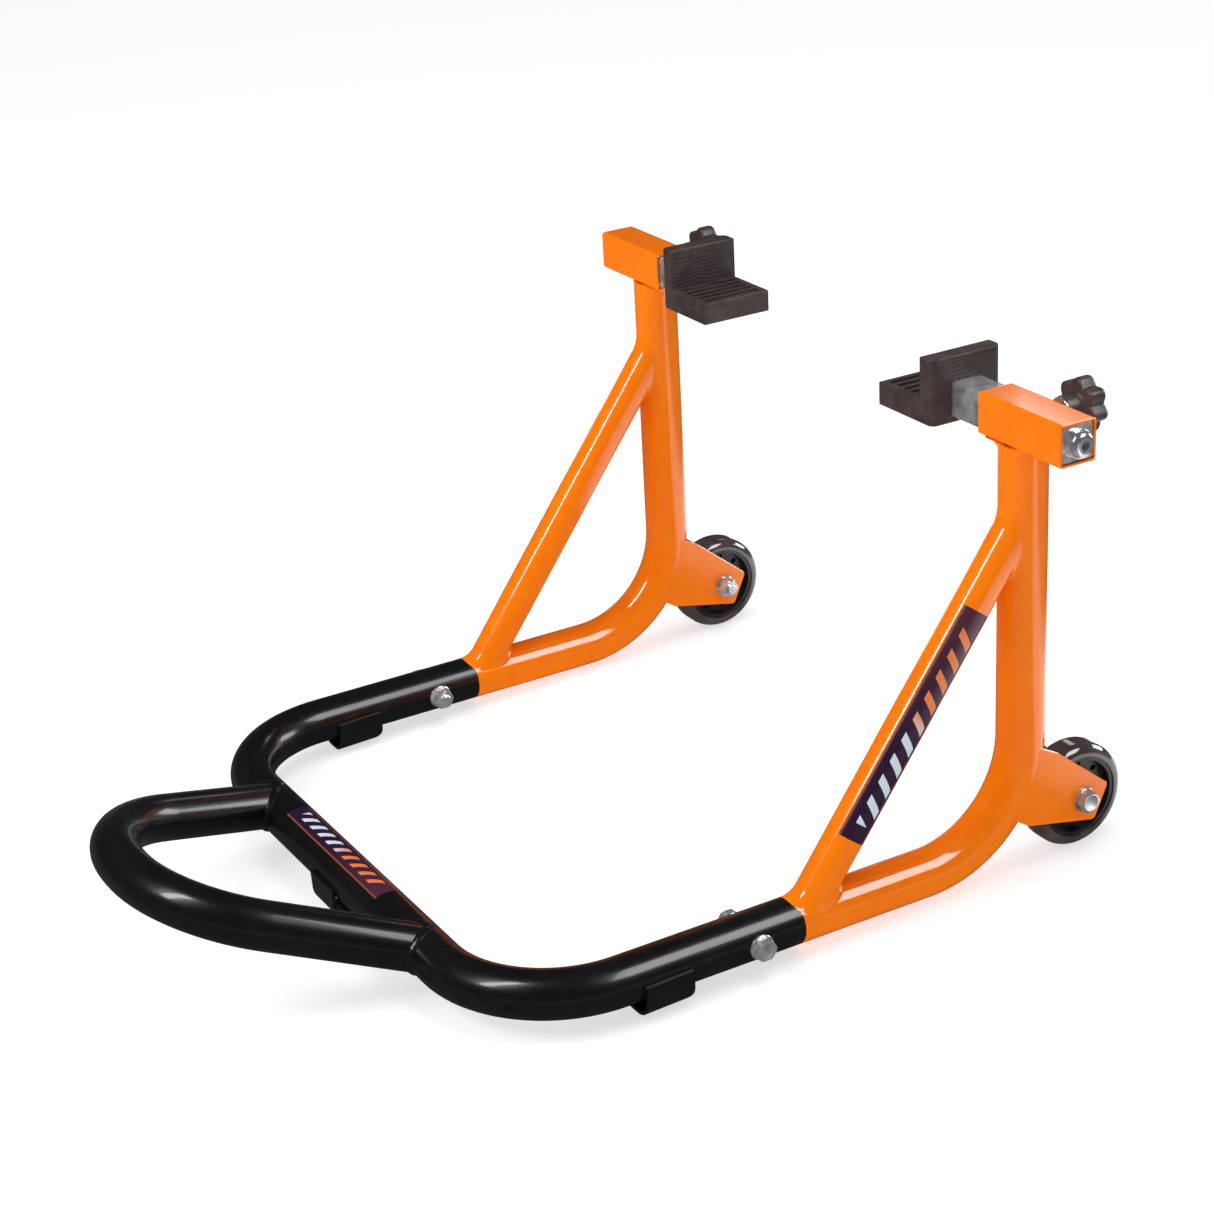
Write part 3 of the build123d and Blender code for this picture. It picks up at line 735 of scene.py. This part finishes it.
FLARE_STEPS, FLARE_LEVELS = 96, 12
FLARE_OUTER_SHARE = 0.01401    # reach on a post's outer side over its reach inwards
FLARE_LEAST_DROP = 2.0 * MM    # height where the flare is lowest, in front of and behind a post
FLARE_FADE = 1.2               # how fast the flare fades towards there
FLARE_SINK = 0.4 * MM          # how far its top runs into the housing
FLARE_SIDE_MARGIN = 0.5 * MM   # between its edge and the housing's
FLARE_LIFT = 0.05 * MM         # its edge above the housing's underside
FLARE_WALL = 1.5 * MM          # how far its hidden side lies inside the post


class STAND_OT_flares(bpy.types.Operator):
    """Hollow flares that carry each post into the underside of its housing"""
    bl_idname = "stand.flares"
    bl_label = "Post Flares"

    def execute(self, context):
        weld = settings("weld")
        half_width = (housing_high.y - housing_low.y) / 2 - FLARE_SIDE_MARGIN
        underside = HOUSING_Z - (housing_high.z - housing_low.z) / 2
        for side, sign in SIDES:
            turns = [2 * pi * step / FLARE_STEPS for step in range(FLARE_STEPS)]
            points, faces = loft(
                [self.section(turn, sign, half_width, weld) for turn in turns], closed=True)
            place = STAND @ Matrix.Translation((sign * LEG_X, POST_Y, underside + FLARE_LIFT))
            make_piece(f"post_flare_{side}", points, faces, "stand", "orange_paint", place,
                       sharp=60.0)
        return {"FINISHED"}

    def section(self, turn, sign, half_width, weld):
        """One upright section: from the post up and out to the housing, and back inside."""
        c, s = cos(turn), sin(turn)
        inward = -c * sign
        fade = abs(c) ** FLARE_FADE
        far = TUBE_R + weld.post_reach * (FLARE_OUTER_SHARE if inward < 0 else 1.0) * fade
        if inward > 0:
            far = min(far, HOUSING_IN - FLARE_SINK)
        wide = min(half_width, far * abs(s)) * (1 if s >= 0 else -1)
        drop = FLARE_LEAST_DROP + (weld.post_drop - FLARE_LEAST_DROP) * fade
        under, hidden = TUBE_R - 0.05 * MM, TUBE_R - FLARE_WALL
        foot = Vector((under * c, under * s, -drop))
        bend_side = TUBE_R * s if abs(wide) >= TUBE_R * abs(s) else wide
        bend = Vector((TUBE_R * c, bend_side, -0.08 * drop))
        end = Vector((far * c, wide, 0))
        return along_curve(foot, bend, end, FLARE_LEVELS) + [
            end + Vector((0, 0, FLARE_SINK)), Vector((hidden * c, hidden * s * 0.9, FLARE_SINK)),
            Vector((hidden * c, hidden * s, -drop))]


# ---------------------------------------------------------------- bolts and knobs

BOLT_THREAD = 14 * MM      # length of the thread at a hexagon bolt's end
THREAD_START = 0.2 * MM    # from the plain shank to the first cut


class STAND_OT_bolts(bpy.types.Operator):
    """Hexagon bolts with dished heads and cut threads, and the threaded clamp screws"""
    bl_idname = "stand.bolts"
    bl_label = "Bolts and Screws"

    def execute(self, context):
        bolt = settings("bolt")
        for side, sign in SIDES:
            for name in ("joint", "axle"):
                self.hex_bolt(name, side, sign, bolt)
            self.clamp_screw(side, bolt)
        return {"FINISHED"}

    def hex_bolt(self, name, side, sign, bolt):
        """One bolt across a leg, its head on the outer side."""
        node = f"{name}_bolt_{side}"
        low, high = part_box(node)
        washer_low, washer_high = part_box(f"{name}_washers_{side}")
        seat = washer_high.x if sign > 0 else washer_low.x
        head_top = (high.x - seat) if sign > 0 else (seat - low.x)
        length_below = (seat - low.x) if sign > 0 else (high.x - seat)
        flats = (high.y - low.y) * cos(pi / 6)
        centre = Vector((seat, (low.y + high.y) / 2, (low.z + high.z) / 2))
        place = facing(centre, Vector((sign, 0, 0)), STAND.to_3x3() @ Vector((0, 1, 0)))
        head, faces = loft(hex_head(flats, head_top, bolt.corner))
        stub_start = -length_below + BOLT_THREAD
        sections = [ring_of(bolt.shank, 0.0, 36), ring_of(bolt.shank, stub_start, 36)]
        sections += threaded(
            bolt.shank, bolt.depth, bolt.pitch, stub_start - THREAD_START, -length_below)
        shank, shank_faces = loft(sections)
        shift = len(head)
        faces += [tuple(shift + i for i in face) for face in shank_faces]
        piece = make_piece(
            f"{name}_bolt_threaded_{side}", head + shank, faces, "stand", "zinc", place)
        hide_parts(node)

    def clamp_screw(self, side, bolt):
        """The threaded screw that presses the slide tube."""
        node = f"clamp_screw_{side}"
        clamp = JOINTS[f"clamp_turn_{side}"]
        axis = Vector(clamp["axis"])
        centre = Vector(clamp["pos_m"])
        low, high = along_axis(node, centre, axis)
        sections = threaded(bolt.shank, bolt.depth, bolt.pitch, high, low)
        points, faces = loft(sections)
        place = facing(centre, axis)
        piece = make_piece(
            f"clamp_screw_threaded_{side}", points, faces, f"clamp_{side}", "zinc", place)
        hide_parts(node)


STEPS_A_LOBE = 20
LOBE_SHAPE = 0.75    # below 1, broad lobes with narrow hollows
# Profile of a knob, from the washer to the face: a share of the hub's radius and the height above
# the hub's end, the same and the depth under the star, a share of the star's outline and the
# height above its underside, the same and the depth under its face, and a radius and the depth
# under the face. Lengths are in millimetres.
HUB_END = ((0.55, 0.0), (0.92, 0.0), (0.985, 0.3), (1.0, 1.0))
HUB_FLARE = ((1.03, 3.0), (1.10, 1.2), (1.22, 0.3))
STAR_LOW = ((0.86, 0.0), (0.93, 0.2), (0.97, 0.8), (0.99, 1.7), (1.0, 3.2))
STAR_HIGH = ((1.0, 4.6), (0.99, 2.8), (0.965, 1.4), (0.925, 0.5), (0.87, 0.05), (0.82, 0.0))
CAP = ((12.2, 0.0), (11.6, 0.15), (11.2, 0.6), (10.9, 1.5), (10.3, 1.8), (8.7, 1.8), (8.3, 1.5),
       (8.0, 0.9), (7.4, 0.6), (5.0, 0.5), (1.5, 0.45))


class STAND_OT_knobs(bpy.types.Operator):
    """Moulded star knobs with a tapered hub, rounded lobes and a capped face"""
    bl_idname = "stand.knobs"
    bl_label = "Star Knobs"

    def execute(self, context):
        knob = settings("knob")
        for side, _ in SIDES:
            clamp = JOINTS[f"clamp_turn_{side}"]
            place = facing(Vector(clamp["pos_m"]), Vector(clamp["axis"]))
            points, faces = loft(self.sections(knob))
            piece = make_piece(f"star_knob_{side}", points, faces, f"clamp_{side}", "knob_plastic",
                               place, sharp=50.0)
            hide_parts(f"clamp_knob_{side}")
        return {"FINISHED"}

    def sections(self, knob):
        """Sections from the washer's side to the face: round for hub and cap, lobed between."""
        low = knob.gap + knob.hub_height
        top = low + knob.height
        steps = STEPS_A_LOBE * knob.lobes

        def star(share, level):
            section = []
            for step in range(steps):
                turn = 2 * pi * step / steps
                wave = 0.5 + 0.5 * cos(knob.lobes * turn)
                r = share * (knob.waist + (knob.radius - knob.waist) * wave ** LOBE_SHAPE)
                section.append((r * cos(turn), r * sin(turn), level))
            return section

        rows = [ring_of(share * knob.hub, knob.gap + rise * MM, steps) for share, rise in HUB_END]
        rows += [ring_of(share * knob.hub, low - drop * MM, steps) for share, drop in HUB_FLARE]
        rows += [star(share, low + rise * MM) for share, rise in STAR_LOW]
        rows += [star(share, top - drop * MM) for share, drop in STAR_HIGH]
        rows += [ring_of(radius * MM, top - drop * MM, steps) for radius, drop in CAP]
        return rows


# ---------------------------------------------------------------- printed bands

BRACE_BAND_RUN = (0.070, 0.264)                     # along a brace, from its foot
BRACE_BAND_TURNS = (radians(-62), radians(50))      # round a brace, from its outer side
CROSSBAR_BAND_RUN = (-0.0885, 0.0765)               # along the crossbar, from its middle
CROSSBAR_BAND_TURNS = (radians(-34), radians(31))   # round the crossbar, from its top
BAND_SINK = 0.05 * MM                               # how far a band lies under the tube's surface


def band_patch(name, tube, out, run, turns, film):
    """Thin film wrapped round part of a tube, in the stand's axes, with its own map.

    The tube is (point, direction, radius). run is the film's start and end along it, and turns
    are its two edges round it, from the direction out.
    """
    point, axis, radius = tube
    aside = axis.cross(out)
    (start, end), (low, high) = run, turns
    along, around = 48, 16
    shell = []
    for layer in (film, -BAND_SINK):
        for i in range(along + 1):
            for j in range(around + 1):
                turn = low + (high - low) * j / around
                normal = out * cos(turn) + aside * sin(turn)
                place = point + axis * (start + (end - start) * i / along)
                shell.append(place + normal * (radius + layer))
    wide = around + 1
    count = (along + 1) * wide
    faces = []
    for i in range(along):
        for j in range(around):
            a = i * wide + j
            faces.append((a, a + 1, a + wide + 1, a + wide))
            faces.append(tuple(count + k for k in (a, a + wide, a + wide + 1, a + 1)))
    rim = [i * wide for i in range(along + 1)]
    rim += [along * wide + j for j in range(1, wide)]
    rim += [i * wide + around for i in range(along - 1, -1, -1)]
    rim += [j for j in range(around - 1, 0, -1)]
    for a, b in zip(rim, rim[1:] + rim[:1]):
        faces.append((a, b, count + b, count + a))
    piece = make_piece(name, shell, faces, "stand", place=STAND, material=band_film())
    chart = piece.data.uv_layers.new(name="band")
    for loop in piece.data.loops:
        index = loop.vertex_index % count
        chart.data[loop.index].uv = (index // wide / along, index % wide / around)
    return piece


class STAND_OT_bands(bpy.types.Operator):
    """Printed bands on the outer side of the braces and on top of the crossbar"""
    bl_idname = "stand.bands"
    bl_label = "Printed Bands"

    def execute(self, context):
        film = settings("band").film
        for side, sign in SIDES:
            foot, _, run = brace_line(sign)
            low, high = BRACE_BAND_TURNS
            turns = (low, high) if sign > 0 else (-high, -low)
            band_patch(f"brace_band_{side}", (foot, run, BRACE_R), Vector((sign, 0, 0)),
                       BRACE_BAND_RUN, turns, film)
        band_patch("crossbar_band", (Vector(), Vector((1, 0, 0)), TUBE_R), Vector((0, 0, 1)),
                   CROSSBAR_BAND_RUN, CROSSBAR_BAND_TURNS, film)
        return {"FINISHED"}


# ---------------------------------------------------------------- finishes of the frame

class STAND_OT_finishes(bpy.types.Operator):
    """Gives every piece of the frame the finish of its slot"""
    bl_idname = "stand.finishes"
    bl_label = "Finishes"

    def execute(self, context):
        for name, node in frame["nodes"].items():
            material = FINISHES[SLOT_OF[name]]()
            node.data.materials.clear()
            node.data.materials.append(material)
        return {"FINISHED"}


# ---------------------------------------------------------------- studio

SENSOR_WIDTH = 36.0
CLIP_NEAR, CLIP_FAR = 0.05, 60.0
FLOOR_SIZE, FLOOR_DROP = 24.0, 0.0002
LIGHT_AIM = Vector((0, 0.1, 0.15))
LIGHT_DISTANCE = 2.6
# Softboxes: name, direction from the aim, width, height, power, and whether it is for highlights
# or for soft light.
SOFTBOXES = (
    ("front_gloss", (0.08, -0.63, 0.77), 0.34, 1.6, 34.0, True),
    ("right_gloss", (0.58, 0.44, 0.69), 1.4, 1.1, 40.0, True),
    ("back_gloss", (-0.58, 0.66, 0.48), 0.35, 0.35, 0.8, True),
    ("wheel_gloss", (0.10, 0.99, 0.20), 1.3, 0.7, 24.0, True),
    ("front_fill", (-0.15, -0.75, 0.65), 1.5, 1.0, 30.0, False),
    ("top_fill", (0.10, 0.20, 0.97), 1.8, 1.2, 22.0, False),
)


def grey(value):
    """Opaque grey."""
    return (value, value, value, 1)


class STAND_OT_studio(bpy.types.Operator):
    """Pale floor, soft lights and the camera"""
    bl_idname = "stand.studio"
    bl_label = "Studio"

    def execute(self, context):
        self.camera(context.scene)
        self.floor()
        self.world(context.scene)
        self.lights()
        context.scene.view_settings.view_transform = "Standard"
        return {"FINISHED"}

    def camera(self, scene):
        """Camera placed by its turn, height and roll about the aim, in the stand's axes."""
        studio = settings("studio")
        a, e, r = studio.azimuth, studio.elevation, studio.roll
        back = Vector((sin(a) * cos(e), -cos(a) * cos(e), sin(e)))
        level = (-back).cross(Vector((0, 0, 1))).normalized()
        upright = level.cross(-back)
        right = cos(r) * level + sin(r) * upright
        up = cos(r) * upright - sin(r) * level
        axes = Matrix((right, up, back)).transposed().to_4x4()
        data = bpy.data.cameras.new("view")
        data.lens = studio.lens
        data.sensor_width = SENSOR_WIDTH
        data.clip_start, data.clip_end = CLIP_NEAR, CLIP_FAR
        camera = bpy.data.objects.new("view", data)
        scene.collection.objects.link(camera)
        place = Vector(studio.aim) + back * studio.distance
        camera.matrix_world = STAND @ Matrix.Translation(place) @ axes
        scene.camera = camera

    def floor(self):
        """Pale floor that glows a little, and that glossy surfaces see dark but for two parts.

        The bright parts are a strip behind the wheels and a faint field on the right.
        """
        bpy.ops.mesh.primitive_plane_add(size=FLOOR_SIZE, location=(0, 0, -FLOOR_DROP))
        floor = bpy.context.object
        floor.name = "studio_floor"
        made = bpy.data.materials.new("Studio Floor")
        made.use_nodes = True
        tree = made.node_tree
        shader = tree.nodes["Principled BSDF"]
        shader.inputs["Roughness"].default_value = 0.9
        shader.inputs["Specular IOR Level"].default_value = 0.05
        shader.inputs["Emission Strength"].default_value = 0.62
        glossy = add_node(tree, "ShaderNodeLightPath").outputs["Is Glossy Ray"]
        tone = mix_colour(tree, glossy, grey(0.55), grey(0.05))
        tree.links.new(tone, shader.inputs["Base Color"])
        place = add_node(tree, "ShaderNodeTexCoord").outputs["Object"]
        parts = add_node(tree, "ShaderNodeSeparateXYZ", {"Vector": place}).outputs
        near = scaled(tree, parts["Y"], 0.36, 0.42, 0.0, 1.0)
        far = scaled(tree, parts["Y"], 0.60, 0.75, 1.0, 0.0)
        field = scaled(tree, parts["X"], 0.34, 0.44, 0.0, 0.08)
        bright = calculate(tree, "MAXIMUM", calculate(tree, "MULTIPLY", near, far), field)
        seen = mix_colour(tree, bright, grey(0.03), grey(2.2))
        tree.links.new(mix_colour(tree, glossy, grey(1), seen), shader.inputs["Emission Color"])
        floor.data.materials.append(made)

    def world(self, scene):
        """White room that glossy surfaces see dark, so that the softboxes draw the highlights."""
        world = bpy.data.worlds.new("studio")
        world.use_nodes = True
        tree = world.node_tree
        glossy = add_node(tree, "ShaderNodeLightPath").outputs["Is Glossy Ray"]
        tone = mix_colour(tree, glossy, grey(1), (0.05, 0.05, 0.055, 1))
        background = tree.nodes["Background"]
        tree.links.new(tone, background.inputs["Color"])
        background.inputs["Strength"].default_value = 0.55
        scene.world = world

    def lights(self):
        """Softboxes that face the aim, each seen either by glossy or by diffuse surfaces."""
        for name, way, width, height, power, glossy in SOFTBOXES:
            data = bpy.data.lights.new(name, "AREA")
            data.shape = "RECTANGLE"
            data.size, data.size_y = width, height
            data.energy = power
            light = bpy.data.objects.new(name, data)
            bpy.context.scene.collection.objects.link(light)
            light.visible_glossy = glossy
            light.visible_diffuse = not glossy
            away = Vector(way).normalized()
            light.matrix_world = facing(LIGHT_AIM + away * LIGHT_DISTANCE, away, Vector((1, 0, 0)))


# ---------------------------------------------------------------- panel and registration

STEPS = (STAND_OT_finishes, STAND_OT_welds, STAND_OT_flares, STAND_OT_bolts, STAND_OT_knobs,
         STAND_OT_bands, STAND_OT_studio)


class STAND_PT_studio(bpy.types.Panel):
    """Lists the steps and the settings of the stand"""
    bl_idname = "STAND_PT_studio"
    bl_label = "Paddock Stand"
    bl_space_type = "VIEW_3D"
    bl_region_type = "UI"
    bl_category = "Paddock Stand"

    def draw(self, context):
        layout = self.layout
        for step in STEPS:
            layout.operator(step.bl_idname)
        for name, group in SETTINGS.items():
            box = layout.box()
            box.label(text=name.capitalize())
            for key in group.__annotations__:
                box.prop(settings(name), key)


def register():
    for group in SETTINGS.values():
        bpy.utils.register_class(group)
    for name, group in SETTINGS.items():
        setattr(bpy.types.Scene, f"stand_{name}", bpy.props.PointerProperty(type=group))
    for step in STEPS:
        bpy.utils.register_class(step)
    bpy.utils.register_class(STAND_PT_studio)


def unregister():
    bpy.utils.unregister_class(STAND_PT_studio)
    for step in reversed(STEPS):
        bpy.utils.unregister_class(step)
    for name, group in SETTINGS.items():
        delattr(bpy.types.Scene, f"stand_{name}")
        bpy.utils.unregister_class(group)


def main():
    """Runs the steps in order."""
    register()
    for step in STEPS:
        area, name = step.bl_idname.split(".")
        getattr(getattr(bpy.ops, area), name)()
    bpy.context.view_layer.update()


if __name__ == "__main__":
    main()
